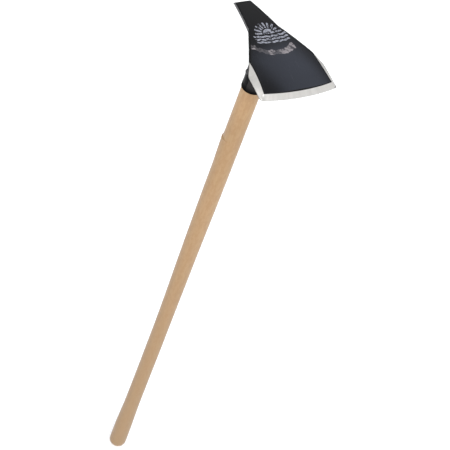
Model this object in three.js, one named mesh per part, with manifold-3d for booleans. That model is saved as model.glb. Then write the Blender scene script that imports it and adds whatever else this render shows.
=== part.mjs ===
// Grub hoe: a dished steel blade with ground edges, welded over a short tube
// socket, on a long turned ash handle that a cross bolt holds in the socket.
//
// Millimetres. +Z runs up the handle from its butt end to the head. The digging
// edge is towards -Y and the narrow tail towards +Y. The YZ plane is the plane of
// symmetry, and the origin is the centre of the flat on the handle's butt end.
import * as THREE from 'three';
import Module from 'manifold-3d';
import { mergeVertices } from 'three/addons/utils/BufferGeometryUtils.js';
import { TessellateModifier } from 'three/addons/modifiers/TessellateModifier.js';

const wasm = await Module();
wasm.setup();

// ---- Driving dimensions ----------------------------------------------------

const GAP = 0.3; // kept between pieces that touch
const WELD_TOLERANCE = 1e-3; // vertices closer than this are one vertex

// Handle: 48 in of ash, with a turned tenon that enters the socket.
const HANDLE_LENGTH = 1219;
const TENON_LENGTH = 108;
const TENON_CHAMFER = 3;
const MOUTH_Z = HANDLE_LENGTH - TENON_LENGTH;
const BUTT_FLAT_RADIUS = 10;
const BUTT_ROUND_HEIGHT = 15;
const BUTT_ROUND_STEPS = 8;

// One side of the handle is left proud, up to where it was trimmed to meet the socket.
const SHOULDER_Z = 976;
const SHOULDER_PROUD = 2.1;
const SHOULDER_LENGTH = 76; // how far down it takes to die away
const SHOULDER_CUT = 1.5; // height of the trimming cut's step
const SHOULDER_TURN = 2.6; // the side it faces, in radians round from +X

const HANDLE_GIRTH = [
  // z above the butt, radius there
  [BUTT_ROUND_HEIGHT, 19.2],
  [60, 19.2],
  [101, 18.2],
  [145, 17.2],
  [216, 17],
  [420, 17.1],
  [525, 17.7],
  [626, 18.6],
  [723, 19.4],
  [817, 20.3],
  [SHOULDER_Z - SHOULDER_LENGTH, 20.6],
  [SHOULDER_Z, 20.6],
  [SHOULDER_Z + SHOULDER_CUT, 20.6],
  [MOUTH_Z, 20.8],
];

// Socket: 1 3/4 in steel tube, cut to meet the blade's back face.
const SOCKET_RADIUS = 22.2;
const SOCKET_WALL = 3.4;
const CROWN_Z = MOUTH_Z + 127; // the blade's top face, on the handle's axis
const WELD_LEG = 6;
const WELD_BELLY = 0.6 * WELD_LEG; // where the fillet's face bulges to

// Blade: 1/4 in plate cut flat, ground along its edges, then pressed to a shallow dish.
const PLATE = 6.4;
const DISH_RADIUS = 720;
const DISH_CENTRE_Y = 70;
const EDGE_RADIUS = 360; // the digging edge, seen from above
const EDGE_LAND = 0.5; // thickness left along a ground edge
const FRONT_BEVEL = 9.6;
const TAIL_BEVEL = 6.9;
const OUTLINE = [
  // half of the outline, and how far each corner's rounding reaches
  { x: 16.8, y: 116, cut: 1.5 },
  { x: 34.4, y: 29.5, cut: 3 },
  { x: 89, y: -71.5, cut: 5 },
  { x: 90, y: -124.4, cut: 5 },
];
const SIDE_BEVEL_LINE = [
  // where a side's bevel begins on the top face, from the digging edge upwards
  { x: 80.2, y: -117 },
  { x: 76.4, y: -82.4 },
  { x: 74.6, y: -48 },
];

// Cross bolt: M6 hexagon bolt, plain washers and a prevailing-torque nut.
const BOLT_Z = MOUTH_Z + 47;
const BOLT_RADIUS = 3;
const BOLT_LENGTH = 60;
const HEXAGON_SIDES = 6;
const HEAD_ACROSS_FLATS = 10;
const HEAD_HEIGHT = 4;
const NUT_HEIGHT = 5;
const NUT_COLLAR_HEIGHT = 1.4;
const NUT_COLLAR_RADIUS = 4.3;
const WASHER_RADIUS = 6;
const WASHER_THICKNESS = 1.6;

// Fineness of the mesh.
const TUBE_SIDES = 48;
const HANDLE_SIDES = 32;
const SHANK_SIDES = 16;
const WASHER_SIDES = 24;
const CORNER_STEPS = 4;
const EDGE_STEPS = 20;
const FACET = 20; // longest edge left on the blade before it is dished
const FACET_PASSES = 40;

const FINISH = {
  plate: { color: 0x40424a, roughness: 0.45, metalness: 0.3 },
  tube: { color: 0x3a3b41, roughness: 0.5, metalness: 0.3 },
  weld: { color: 0x34353a, roughness: 0.6, metalness: 0.3 },
  ash: { color: 0xc6a47e, roughness: 0.55, metalness: 0 },
  bolt: { color: 0x3c3c40, roughness: 0.45, metalness: 0.6 },
  washer: { color: 0x46464a, roughness: 0.45, metalness: 0.6 },
};

// ---- Geometry helpers ------------------------------------------------------

const [tailCorner] = OUTLINE;
const [shoulderCorner, frontCorner] = OUTLINE.slice(-2);
const cornerAngle = Math.asin(frontCorner.x / EDGE_RADIUS);
const edgeCentreY = frontCorner.y + EDGE_RADIUS * Math.cos(cornerAngle);

// How far the dish lifts a point of the plate, zero on the handle's axis.
function dish(x, y) {
  const onAxis = Math.sqrt(DISH_RADIUS ** 2 - DISH_CENTRE_Y ** 2);
  return Math.sqrt(DISH_RADIUS ** 2 - x ** 2 - (y - DISH_CENTRE_Y) ** 2) - onAxis;
}

// Height of the blade's back face above a point of the ground plan.
function backFace(x, y) {
  return CROWN_Z - PLATE + dish(x, y);
}

function toSolid(geometry) {
  const bare = geometry.clone();
  bare.deleteAttribute('normal');
  bare.deleteAttribute('uv');
  const merged = mergeVertices(bare, WELD_TOLERANCE);
  const vertProperties = merged.attributes.position.array;
  const triVerts = new Uint32Array(merged.index.array);
  return new wasm.Manifold(new wasm.Mesh({ numProp: 3, vertProperties, triVerts }));
}

function toGeometry(solid) {
  const mesh = solid.getMesh();
  const geometry = new THREE.BufferGeometry();
  geometry.setAttribute('position', new THREE.BufferAttribute(mesh.vertProperties, 3));
  geometry.setIndex(new THREE.BufferAttribute(mesh.triVerts, 1));
  return geometry;
}

// Moves every vertex to move(x, y, z) and returns one closed, indexed geometry.
function reshape(geometry, move) {
  const position = geometry.attributes.position;
  for (let i = 0; i < position.count; i += 1) {
    const moved = move(position.getX(i), position.getY(i), position.getZ(i));
    position.setXYZ(i, ...moved);
  }
  geometry.deleteAttribute('normal');
  geometry.deleteAttribute('uv');
  return mergeVertices(geometry, WELD_TOLERANCE);
}

// A solid turned about the Z axis from [radius, z] points.
function turned(profile, segments) {
  const points = profile.map(([radius, z]) => new THREE.Vector2(radius, z));
  return new THREE.LatheGeometry(points, segments).rotateX(Math.PI / 2);
}

// A cylinder or hexagonal prism along X, from one x to another, at the bolt's height.
function barAlongX(radius, fromX, toX, sides) {
  const bar = new THREE.CylinderGeometry(radius, radius, toX - fromX, sides);
  return bar.rotateZ(-Math.PI / 2).translate((fromX + toX) / 2, 0, BOLT_Z);
}

// The hole the bolt runs through, in the socket and in the tenon.
function drill() {
  const reach = 2 * SOCKET_RADIUS;
  return toSolid(barAlongX(BOLT_RADIUS + GAP, -reach, reach, SHANK_SIDES));
}

function piece(name, geometry, finish) {
  const mesh = new THREE.Mesh(geometry, new THREE.MeshStandardMaterial(finish));
  mesh.name = name;
  return mesh;
}

// ---- Blade -----------------------------------------------------------------

const onPlan = ({ x, y }) => new THREE.Vector2(x, y);
const mirrored = (points) => points.map(({ x, y }) => new THREE.Vector2(-x, y));

// The digging edge's arc from +X to -X, moved inwards by an offset and run on at both ends.
function edgeArc(offset, extraSteps) {
  const radius = EDGE_RADIUS - offset;
  const points = [];
  for (let i = -extraSteps; i <= EDGE_STEPS + extraSteps; i += 1) {
    const angle = cornerAngle * (1 - (2 * i) / EDGE_STEPS);
    const x = radius * Math.sin(angle);
    points.push(new THREE.Vector2(x, edgeCentreY - radius * Math.cos(angle)));
  }
  return points;
}

function bladeShape() {
  const right = OUTLINE.map(({ x, y, cut }) => ({ point: new THREE.Vector2(x, y), cut }));
  const front = edgeArc(0, 0)
    .slice(1, -1)
    .map((point) => ({ point, cut: 0 }));
  const left = right.map(({ point, cut }) => ({
    point: new THREE.Vector2(-point.x, point.y),
    cut,
  }));
  const corners = [...right, ...front, ...left.reverse()];

  const shape = new THREE.Shape();
  corners.forEach(({ point, cut }, i) => {
    const before = corners.at(i - 1).point;
    const after = corners[(i + 1) % corners.length].point;
    const enter = point.clone().add(before.clone().sub(point).setLength(cut));
    const leave = point.clone().add(after.clone().sub(point).setLength(cut));
    if (i === 0) shape.moveTo(enter.x, enter.y);
    else shape.lineTo(enter.x, enter.y);
    if (cut > 0) shape.quadraticCurveTo(point.x, point.y, leave.x, leave.y);
  });
  shape.closePath();
  return shape;
}

// A closed wedge whose sole is the ground bevel: it runs from the inner line on
// the top face down to the outer line, EDGE_LAND above the back face.
function bevelWedge(inner, outer) {
  const overrun = 0.5; // how far the sole runs on past each line, as a share of its width
  const ceiling = 10;
  const drop = PLATE - EDGE_LAND;
  const positions = [];
  inner.forEach((start, i) => {
    const across = outer[i].clone().sub(start);
    const high = start.clone().addScaledVector(across, -overrun);
    const low = outer[i].clone().addScaledVector(across, overrun);
    positions.push(high.x, high.y, drop * overrun);
    positions.push(low.x, low.y, -drop * (1 + overrun));
    positions.push(low.x, low.y, ceiling);
    positions.push(high.x, high.y, ceiling);
  });
  const last = 4 * (inner.length - 1);
  const index = [0, 1, 2, 0, 2, 3, last, last + 2, last + 1, last, last + 3, last + 2];
  for (let near = 0; near < last; near += 4) {
    for (let side = 0; side < 4; side += 1) {
      const a = near + side;
      const b = near + ((side + 1) % 4);
      index.push(a, a + 4, b, b, a + 4, b + 4);
    }
  }
  const geometry = new THREE.BufferGeometry();
  geometry.setAttribute('position', new THREE.Float32BufferAttribute(positions, 3));
  geometry.setIndex(index);
  return toSolid(geometry);
}

// Runs a line on past both of its ends.
function runOn(line, reach) {
  const beyond = (end, next) => end.clone().add(end.clone().sub(next).setLength(reach));
  return [beyond(line[0], line[1]), ...line, beyond(line.at(-1), line.at(-2))];
}

function bevelWedges() {
  const reach = 60;
  const corner = onPlan(frontCorner);
  const shoulder = onPlan(shoulderCorner);
  const middle = corner.clone().lerp(shoulder, 0.5);
  const sideInner = runOn(SIDE_BEVEL_LINE.map(onPlan), reach);
  const sideOuter = runOn([corner, middle, shoulder], reach);
  const tailOuter = [new THREE.Vector2(reach, tailCorner.y), new THREE.Vector2(-reach, tailCorner.y)];
  const tailInner = tailOuter.map(({ x, y }) => new THREE.Vector2(x, y - TAIL_BEVEL));
  const extraSteps = 3;
  return [
    bevelWedge(sideInner, sideOuter),
    bevelWedge(mirrored(sideInner).reverse(), mirrored(sideOuter).reverse()),
    bevelWedge(tailInner, tailOuter),
    bevelWedge(edgeArc(FRONT_BEVEL, extraSteps).reverse(), edgeArc(0, extraSteps).reverse()),
  ];
}

function blade() {
  const flat = new THREE.ExtrudeGeometry(bladeShape(), {
    depth: PLATE,
    bevelEnabled: false,
    curveSegments: CORNER_STEPS,
  }).translate(0, 0, -PLATE);
  let solid = toSolid(flat);
  for (const wedge of bevelWedges()) solid = solid.subtract(wedge);
  const fine = new TessellateModifier(FACET, FACET_PASSES).modify(toGeometry(solid));
  const pressed = reshape(fine, (x, y, z) => [x, y, z + CROWN_Z + dish(x, y)]);
  return piece('blade', pressed, FINISH.plate);
}

// ---- Socket and weld -------------------------------------------------------

function socket() {
  const bore = SOCKET_RADIUS - SOCKET_WALL;
  const foot = MOUTH_Z + GAP;
  const profile = [
    [bore, foot],
    [SOCKET_RADIUS, foot],
    [SOCKET_RADIUS, CROWN_Z],
    [bore, CROWN_Z],
    [bore, foot],
  ];
  const tube = reshape(turned(profile, TUBE_SIDES), (x, y, z) => [
    x,
    y,
    z > BOLT_Z ? backFace(x, y) - GAP : z,
  ]);
  return piece('socket', toGeometry(toSolid(tube).subtract(drill())), FINISH.tube);
}

// A fillet weld all round, where the tube meets the blade's back face.
function weldBead() {
  const inner = SOCKET_RADIUS + GAP;
  const profile = [
    [inner, -WELD_LEG],
    [inner + WELD_BELLY, -WELD_BELLY],
    [inner + WELD_LEG, 0],
    [inner, 0],
    [inner, -WELD_LEG],
  ];
  const bead = reshape(turned(profile, TUBE_SIDES), (x, y, z) => [x, y, z + backFace(x, y) - GAP]);
  return piece('weld_bead', bead, FINISH.weld);
}

// ---- Handle ----------------------------------------------------------------

// The rounded butt, from its flat up to its full girth.
function buttProfile() {
  const corner = HANDLE_GIRTH[0][1] - BUTT_FLAT_RADIUS;
  const points = [[0, 0]];
  for (let i = 0; i < BUTT_ROUND_STEPS; i += 1) {
    const angle = (Math.PI / 2) * (i / BUTT_ROUND_STEPS);
    const radius = BUTT_FLAT_RADIUS + corner * Math.sin(angle);
    points.push([radius, BUTT_ROUND_HEIGHT * (1 - Math.cos(angle))]);
  }
  return points;
}

// Moves a point of the round handle out where one side was left proud.
function leftProud(x, y, z) {
  const rise = (z - SHOULDER_Z) / SHOULDER_LENGTH + 1;
  if (rise <= 0 || z > SHOULDER_Z + GAP) return [x, y, z];
  const facing = Math.max(0, Math.cos(Math.atan2(y, x) - SHOULDER_TURN));
  const swell = 1 + (SHOULDER_PROUD * rise * facing ** 2) / Math.hypot(x, y);
  return [x * swell, y * swell, z];
}

function handle() {
  const tenon = SOCKET_RADIUS - SOCKET_WALL - GAP;
  const profile = [
    ...buttProfile(),
    ...HANDLE_GIRTH.map(([z, radius]) => [radius, z]),
    [tenon, MOUTH_Z],
    [tenon, HANDLE_LENGTH - TENON_CHAMFER],
    [tenon - TENON_CHAMFER, HANDLE_LENGTH],
    [0, HANDLE_LENGTH],
  ];
  const stick = reshape(turned(profile, HANDLE_SIDES), leftProud);
  return piece('handle', toGeometry(toSolid(stick).subtract(drill())), FINISH.ash);
}

// ---- Cross bolt ------------------------------------------------------------

const washerFace = SOCKET_RADIUS + GAP;
const seat = washerFace + WASHER_THICKNESS + GAP; // where the head and the nut bear
const hexRadius = HEAD_ACROSS_FLATS / Math.sqrt(3);

function crossBolt() {
  const outerFace = -seat - HEAD_HEIGHT;
  const head = barAlongX(hexRadius, outerFace, -seat, HEXAGON_SIDES);
  const shank = barAlongX(BOLT_RADIUS, outerFace + HEAD_HEIGHT / 2, BOLT_LENGTH - seat, SHANK_SIDES);
  return piece('cross_bolt', toGeometry(toSolid(head).add(toSolid(shank))), FINISH.bolt);
}

function washer(name, side) {
  const disc = barAlongX(WASHER_RADIUS, washerFace, washerFace + WASHER_THICKNESS, WASHER_SIDES);
  const ring = toGeometry(toSolid(disc).subtract(drill()));
  if (side < 0) ring.rotateZ(Math.PI);
  return piece(name, ring, FINISH.washer);
}

function lockNut() {
  const hex = toSolid(barAlongX(hexRadius, seat, seat + NUT_HEIGHT, HEXAGON_SIDES));
  const collarEnd = seat + NUT_HEIGHT + NUT_COLLAR_HEIGHT;
  const collar = toSolid(
    barAlongX(NUT_COLLAR_RADIUS, seat + NUT_HEIGHT / 2, collarEnd, WASHER_SIDES),
  );
  return piece('lock_nut', toGeometry(hex.add(collar).subtract(drill())), FINISH.bolt);
}

// ---- Assembly --------------------------------------------------------------

const grubHoe = new THREE.Group();
grubHoe.add(
  blade(),
  socket(),
  weldBead(),
  handle(),
  crossBolt(),
  washer('bolt_washer', -1),
  washer('nut_washer', 1),
  lockNut(),
);

export default grubHoe;
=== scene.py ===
"""Looks of the grub hoe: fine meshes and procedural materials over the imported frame.

Everything is in metres in the row frame: +Z up the handle from its butt end, -Y
towards the digging edge. The YZ plane halves the blade, whose two sides differ a little.
"""
import math

import bmesh
import bpy
import numpy as np
from mathutils import Matrix, Vector


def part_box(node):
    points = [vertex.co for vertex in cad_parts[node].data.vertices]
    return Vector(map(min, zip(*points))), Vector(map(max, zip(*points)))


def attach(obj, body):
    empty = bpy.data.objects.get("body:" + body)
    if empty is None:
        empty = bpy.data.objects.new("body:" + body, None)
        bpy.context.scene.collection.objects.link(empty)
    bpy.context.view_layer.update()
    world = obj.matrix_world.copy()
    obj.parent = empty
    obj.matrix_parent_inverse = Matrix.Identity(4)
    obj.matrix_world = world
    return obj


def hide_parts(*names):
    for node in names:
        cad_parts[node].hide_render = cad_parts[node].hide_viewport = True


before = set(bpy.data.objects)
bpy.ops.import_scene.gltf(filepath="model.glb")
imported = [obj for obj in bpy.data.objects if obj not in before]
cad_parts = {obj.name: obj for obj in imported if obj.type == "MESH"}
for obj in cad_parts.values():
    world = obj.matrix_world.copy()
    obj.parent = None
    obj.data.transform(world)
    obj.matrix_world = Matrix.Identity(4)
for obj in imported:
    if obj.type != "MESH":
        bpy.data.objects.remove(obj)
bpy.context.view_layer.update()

MM = 0.001
BODY = "root"
MERGE_DISTANCE = 1e-7  # points closer than this are one point

# ---- Where the frame puts things ----

_, HANDLE_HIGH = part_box("handle")
SOCKET_LOW, SOCKET_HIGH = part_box("socket")
_, BLADE_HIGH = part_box("blade")
_, BEAD_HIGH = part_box("weld_bead")
BOLT_LOW, BOLT_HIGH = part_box("cross_bolt")
NUT_LOW, NUT_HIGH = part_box("lock_nut")
WASHER_LOW, WASHER_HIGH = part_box("nut_washer")

GAP = 0.3 * MM  # between pieces that touch
SOCKET_WALL = 3.4 * MM
SOCKET_RADIUS = SOCKET_HIGH.x
SOCKET_BORE = SOCKET_RADIUS - SOCKET_WALL
BOLT_RADIUS = 3 * MM
MOUTH_Z = SOCKET_LOW.z
TOP_Z = HANDLE_HIGH.z
BOLT_Z = (BOLT_LOW.z + BOLT_HIGH.z) / 2

# ---- Blade dimensions ----

PLATE = 6.4 * MM
DISH_RADIUS = 720 * MM
DISH_CENTRE_Y = 70 * MM
EDGE_RADIUS = 360 * MM  # the digging edge, seen from above
EDGE_LAND = 0.5 * MM  # thickness left along a ground edge
FRONT_BEVEL = 9.6 * MM
TAIL_BEVEL = 6.9 * MM
OUTLINE = [
    # half of the outline, and how far each corner's rounding reaches
    (16.8 * MM, 116 * MM, 1.5 * MM),
    (34.4 * MM, 29.5 * MM, 3 * MM),
    (89 * MM, -71.5 * MM, 5 * MM),
    (90 * MM, -124.4 * MM, 5 * MM),
]
SHOULDER_CORNER = np.array(OUTLINE[-2][:2])
FRONT_CORNER = np.array(OUTLINE[-1][:2])
CORNER_ANGLE = math.asin(FRONT_CORNER[0] / EDGE_RADIUS)
EDGE_CENTRE_Y = FRONT_CORNER[1] + EDGE_RADIUS * math.cos(CORNER_ANGLE)
LEFT_CORNER_CUT = 8 * MM  # this corner has been ground rounder than the other
LEFT_TAIL_TRIM = 0.8 * MM  # and the tail was cut this much narrower on that side
RIGHT_TAIL_SPARE = 0.6 * MM  # and this much wider on the other
LEFT_LAND = 1.4 * MM  # where the left side's bevel stops short, it leaves this much more edge
# Where a side's bevel begins on the top face: near the digging edge, and up on the flare.
SIDE_BEVEL_LOW = (80.2 * MM, -117 * MM)
SIDE_BEVEL_HIGH = (74.6 * MM, -48 * MM)
# Between them its line bows inwards, more on the left than on the right.
LEFT_BOW = 1.6 * MM
RIGHT_BOW = 0.4 * MM
# The dish lifts the plate most at its centre, so the box's top fixes its height.
DISH_ON_AXIS = math.sqrt(DISH_RADIUS**2 - DISH_CENTRE_Y**2)
CROWN_Z = BLADE_HIGH.z - (DISH_RADIUS - DISH_ON_AXIS)
ARRIS_SHARE = 0.28  # how much of an edge's height its rounding takes, within limits
ARRIS_LEAST = 0.12 * MM
ARRIS_MOST = 0.6 * MM
ARRIS_ANGLES = [share * math.pi / 2 for share in (0.33, 0.66)]
# Fineness of the outline.
ARC_STEPS = 60
ROUNDING_STEPS = 9
SIDE_STEPS = 30
OUTLINE_STEP = 1.2 * MM
# How the faces are filled in, and what they are made of.
SPINE_Y = (-96 * MM, 92 * MM)  # the two faces' rings close up on this stretch of the middle line
WEAR_FADE = 3 * MM  # how far in from an edge its wear dies away
# The blade's material slots: printed top face, ground bevels, edge's wall, plain back face.
TOP, STEEL, WALL, BACK = range(4)


# ---- Mesh helpers ----

def unit(vector):
    return vector / np.linalg.norm(vector)


def merged(points):
    """The first of each set of coincident points, and each point's place among those."""
    keys = np.round(points / MERGE_DISTANCE).astype(np.int64)
    _, first, where = np.unique(keys, axis=0, return_index=True, return_inverse=True)
    return first, where


def running(lengths):
    """Running total of lengths, from zero."""
    return np.concatenate([[0.0], np.cumsum(lengths)])


def loft(name, rings, closed=False, ring_slots=None, values=None):
    """A mesh through rings of points, coincident points merged.

    ring_slots gives the material index of the faces between two rings, as a number
    or one for each point. values are per-point numbers kept as the attribute wear.
    """
    rings = np.array(rings, float)
    count, around = rings.shape[:2]
    points = rings.reshape(-1, 3)
    first, where = merged(points)
    where = where.reshape(count, around)
    along = running(np.linalg.norm(np.roll(rings, -1, axis=1) - rings, axis=2).max(axis=0))
    across = running(np.linalg.norm(np.diff(rings, axis=0), axis=2).mean(axis=1))

    faces, slots, coords = [], [], []
    for r in range(count if closed else count - 1):
        s = (r + 1) % count
        near, far = across[r], across[r + 1] if r + 1 < count else across[r]
        slot = 0 if ring_slots is None else ring_slots[r]
        for i in range(around):
            j = (i + 1) % around
            corners = [where[r, i], where[r, j], where[s, j], where[s, i]]
            uvs = [(along[i], near), (along[i + 1], near), (along[i + 1], far), (along[i], far)]
            kept = [k for k in range(4) if corners[k] != corners[k - 1]]
            if len({corners[k] for k in kept}) < 3:
                continue
            faces.append([int(corners[k]) for k in kept])
            coords.append([uvs[k] for k in kept])
            slots.append(int(slot if np.isscalar(slot) else slot[i]))

    mesh = bpy.data.meshes.new(name)
    mesh.from_pydata([tuple(points[f]) for f in first], [], faces)
    layer = mesh.uv_layers.new(name="surface")
    flat = [uv for face in coords for uv in face]
    layer.data.foreach_set("uv", np.array(flat, np.float32).ravel())
    mesh.polygons.foreach_set("material_index", slots)
    mesh.polygons.foreach_set("use_smooth", [True] * len(mesh.polygons))
    if values is not None:
        attribute = mesh.attributes.new("wear", "FLOAT", "POINT")
        flat_values = np.array(values, np.float32).reshape(-1)
        attribute.data.foreach_set("value", flat_values[first])
    outward(mesh)
    return mesh


def outward(mesh):
    """Turns every face outwards."""
    work = bmesh.new()
    work.from_mesh(mesh)
    bmesh.ops.recalc_face_normals(work, faces=work.faces)
    work.to_mesh(mesh)
    work.free()
    mesh.update()


def linked(name, data):
    """A new object, linked to the scene."""
    obj = bpy.data.objects.new(name, data)
    bpy.context.scene.collection.objects.link(obj)
    return obj


def piece(name, mesh, materials, node):
    """Makes a mesh a piece of the object that stands for a CAD node."""
    for material in materials:
        mesh.materials.append(material)
    obj = linked(name, mesh)
    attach(obj, BODY)
    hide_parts(node)
    return obj


def circle(radius, z, sides, centre=(0.0, 0.0)):
    """A ring of points about Z; radius and z are each a number, or one for each point."""
    angle = np.arange(sides) * 2 * math.pi / sides
    x = centre[0] + radius * np.cos(angle)
    y = centre[1] + radius * np.sin(angle)
    return np.stack([x, y, np.zeros(sides) + z], axis=1)


def along_x(rings):
    """Turns rings built about Z, with z measured outwards, to lie about the bolt's axis."""
    rings = np.array(rings, float)
    return np.stack([rings[..., 2], rings[..., 0], rings[..., 1] + BOLT_Z], axis=-1)


def cut(obj, tool_mesh):
    """Cuts tool_mesh out of a piece and keeps the result as its mesh."""
    tool = linked("cutter", tool_mesh)
    modifier = obj.modifiers.new("cut", "BOOLEAN")
    modifier.operation = "DIFFERENCE"
    modifier.solver = "EXACT"
    modifier.object = tool
    bpy.context.view_layer.update()
    evaluated = obj.evaluated_get(bpy.context.evaluated_depsgraph_get())
    obj.data = bpy.data.meshes.new_from_object(evaluated)
    obj.modifiers.clear()
    bpy.data.objects.remove(tool)


def crisp(obj, degrees):
    """Smooth shading that stays sharp across edges steeper than an angle."""
    limit = math.radians(degrees)
    work = bmesh.new()
    work.from_mesh(obj.data)
    for edge in work.edges:
        edge.smooth = len(edge.link_faces) == 2 and edge.calc_face_angle(0) < limit
    for face in work.faces:
        face.smooth = True
    work.to_mesh(obj.data)
    work.free()


# ---- Node helper ----

class Shader:
    """Builds one material's node tree with short calls."""

    def __init__(self, name):
        self.material = bpy.data.materials.new(name)
        self.material.use_nodes = True
        self.tree = self.material.node_tree
        self.surface = self.tree.nodes["Principled BSDF"]
        self.place = self.node("ShaderNodeTexCoord").outputs["Object"]

    def node(self, kind, **settings):
        made = self.tree.nodes.new(kind)
        for key, value in settings.items():
            setattr(made, key, value)
        return made

    def feed(self, socket, value):
        if isinstance(value, bpy.types.NodeSocket):
            self.tree.links.new(value, socket)
        else:
            socket.default_value = value

    def math(self, operation, *values):
        made = self.node("ShaderNodeMath", operation=operation)
        for socket, value in zip(made.inputs, values):
            self.feed(socket, value)
        return made.outputs[0]

    def plus(self, a, b):
        return self.math("ADD", a, b)

    def minus(self, a, b):
        return self.math("SUBTRACT", a, b)

    def times(self, a, b):
        return self.math("MULTIPLY", a, b)

    def split(self, vector):
        made = self.node("ShaderNodeSeparateXYZ")
        self.feed(made.inputs[0], vector)
        return made.outputs[0], made.outputs[1], made.outputs[2]

    def stretch(self, vector, x, y, z):
        made = self.node("ShaderNodeVectorMath", operation="MULTIPLY")
        self.feed(made.inputs[0], vector)
        made.inputs[1].default_value = (x, y, z)
        return made.outputs[0]

    def noise(self, vector, scale, detail=3.0, roughness=0.5):
        made = self.node("ShaderNodeTexNoise")
        self.feed(made.inputs["Vector"], vector)
        made.inputs["Scale"].default_value = scale
        made.inputs["Detail"].default_value = detail
        made.inputs["Roughness"].default_value = roughness
        return made.outputs["Fac"]

    def band(self, value, low, high, to_low=0.0, to_high=1.0, smooth=True):
        """Maps value from low..high to to_low..to_high, clamped."""
        made = self.node("ShaderNodeMapRange")
        made.interpolation_type = "SMOOTHSTEP" if smooth else "LINEAR"
        made.clamp = True
        self.feed(made.inputs["Value"], value)
        for key, number in zip(("From Min", "From Max"), (low, high)):
            made.inputs[key].default_value = number
        for key, number in zip(("To Min", "To Max"), (to_low, to_high)):
            made.inputs[key].default_value = number
        return made.outputs["Result"]

    def mix(self, factor, a, b):
        made = self.node("ShaderNodeMix", data_type="RGBA")
        self.feed(made.inputs["Factor"], factor)
        for key, value in (("A", a), ("B", b)):
            colour = (*value, 1.0) if isinstance(value, tuple) else value
            self.feed(next(s for s in made.inputs if s.name == key and s.type == "RGBA"), colour)
        return next(s for s in made.outputs if s.type == "RGBA")

    def lighten(self, colour, times):
        made = self.node("ShaderNodeVectorMath", operation="SCALE")
        self.feed(made.inputs[0], colour)
        made.inputs["Scale"].default_value = times
        return made.outputs[0]

    def blend(self, factor, a, b):
        made = self.node("ShaderNodeMix", data_type="FLOAT")
        self.feed(made.inputs["Factor"], factor)
        self.feed(made.inputs["A"], a)
        self.feed(made.inputs["B"], b)
        return made.outputs["Result"]

    def bump(self, height, distance, strength):
        made = self.node("ShaderNodeBump")
        made.inputs["Strength"].default_value = strength
        made.inputs["Distance"].default_value = distance
        self.feed(made.inputs["Height"], height)
        return made.outputs["Normal"]

    def set(self, **sockets):
        for key, value in sockets.items():
            socket = self.surface.inputs[key.replace("_", " ").title().replace("Ior", "IOR")]
            if isinstance(value, tuple):
                value = (*value, 1.0)
            self.feed(socket, value)
        return self.material


# ---- Materials ----

PAINT = (0.0032, 0.0032, 0.004)
PRINT = (0.3, 0.31, 0.36)
WORN_PRINT = (0.3, 0.275, 0.285)
BARE_STEEL = (0.62, 0.605, 0.58)
SCRATCHED_PAINT = (0.16, 0.16, 0.17)
# Painted reflection: the lighter grey for the bright side of the socket.
PAINTED_REFLECTION_GREY = (0.035, 0.032, 0.033)
CHIPPED_STEEL = (0.34, 0.335, 0.33)
# Painted reflection: two greys for the tail's edge, standing for the bright floor seen in its black
# paint.
PAINTED_REFLECTION_EDGE_GREYS = ((0.09, 0.09, 0.095), (0.16, 0.16, 0.165))
CHIPPED_EDGE = (0.3, 0.295, 0.29)
OXIDE = ((0.032, 0.032, 0.035), (0.085, 0.083, 0.08))
NYLON = ((0.5, 0.5, 0.47), (0.6, 0.6, 0.57))
ASH_PALE = (0.383, 0.242, 0.114)
ASH_TAN = (0.358, 0.218, 0.099)
ASH_BROWN = (0.3, 0.172, 0.074)
ASH_ROSY = (0.41, 0.24, 0.13)
ASH_FLECK = (0.325, 0.182, 0.078)
ASH_PORE = (0.26, 0.15, 0.075)
ASH_DARKER_LOW = (0.27, 0.17, 0.085)


def shaded(colour, times):
    """A colour made darker or lighter."""
    return tuple(channel * times for channel in colour)


def plan_radius(shader, x, y, centre_y):
    """Distance over the plate from a point on its centre line, in the units of x and y."""
    rise = shader.minus(y, centre_y)
    squares = shader.plus(shader.times(x, x), shader.times(rise, rise))
    return shader.math("SQRT", squares)


def sun_mask(shader, x, y):
    """A half sun with rays, in millimetres."""
    sun_y, sun_radius = 11.5, 13.0
    rays, ray_from, ray_to = 9, 16.0, 31.0
    rise = shader.minus(y, sun_y)
    radius = plan_radius(shader, x, y, sun_y)
    disc = shader.band(radius, sun_radius + 0.4, sun_radius - 0.4)
    turn = shader.times(shader.math("ARCTAN2", rise, x), rays / math.pi)
    off_ray = shader.math("ABSOLUTE", shader.minus(shader.math("FRACT", turn), 0.5))
    width = shader.band(radius, ray_from, ray_to, 0.34, 0.2, smooth=False)
    ray = shader.band(shader.minus(width, off_ray), -0.02, 0.03)
    begun = shader.band(radius, ray_from - 0.4, ray_from + 0.4)
    reach = shader.times(begun, shader.band(radius, ray_to + 0.4, ray_to - 0.6))
    sun = shader.math("MAXIMUM", disc, shader.times(ray, reach))
    return shader.times(sun, shader.band(rise, -0.2, 0.4))


def furrows_mask(shader, x, y):
    """Wavy furrows that bow under the sun, in millimetres."""
    furrows, spacing, nearest = 3, 7.4, 131.5
    farthest = nearest + furrows * spacing
    wave = shader.times(shader.math("SINE", shader.times(x, 0.42)), 0.8)
    bow = shader.plus(plan_radius(shader, x, y, 140.0), wave)
    phase = shader.math("FRACT", shader.math("DIVIDE", shader.minus(bow, nearest), spacing))
    line = shader.band(shader.math("ABSOLUTE", shader.minus(phase, 0.5)), 0.31, 0.26)
    begun = shader.band(bow, nearest - 0.1, nearest + 0.1)
    rows = shader.times(begun, shader.band(bow, farthest + 0.1, farthest - 0.1))
    ends = shader.band(shader.math("ABSOLUTE", x), 39.0, 37.0)
    return shader.times(shader.times(line, rows), ends)


def plan_in_mm(shader):
    """The place on the plate, in millimetres from the handle's axis."""
    x, y, _ = shader.split(shader.stretch(shader.place, 1 / MM, 1 / MM, 1 / MM))
    return x, y


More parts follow.
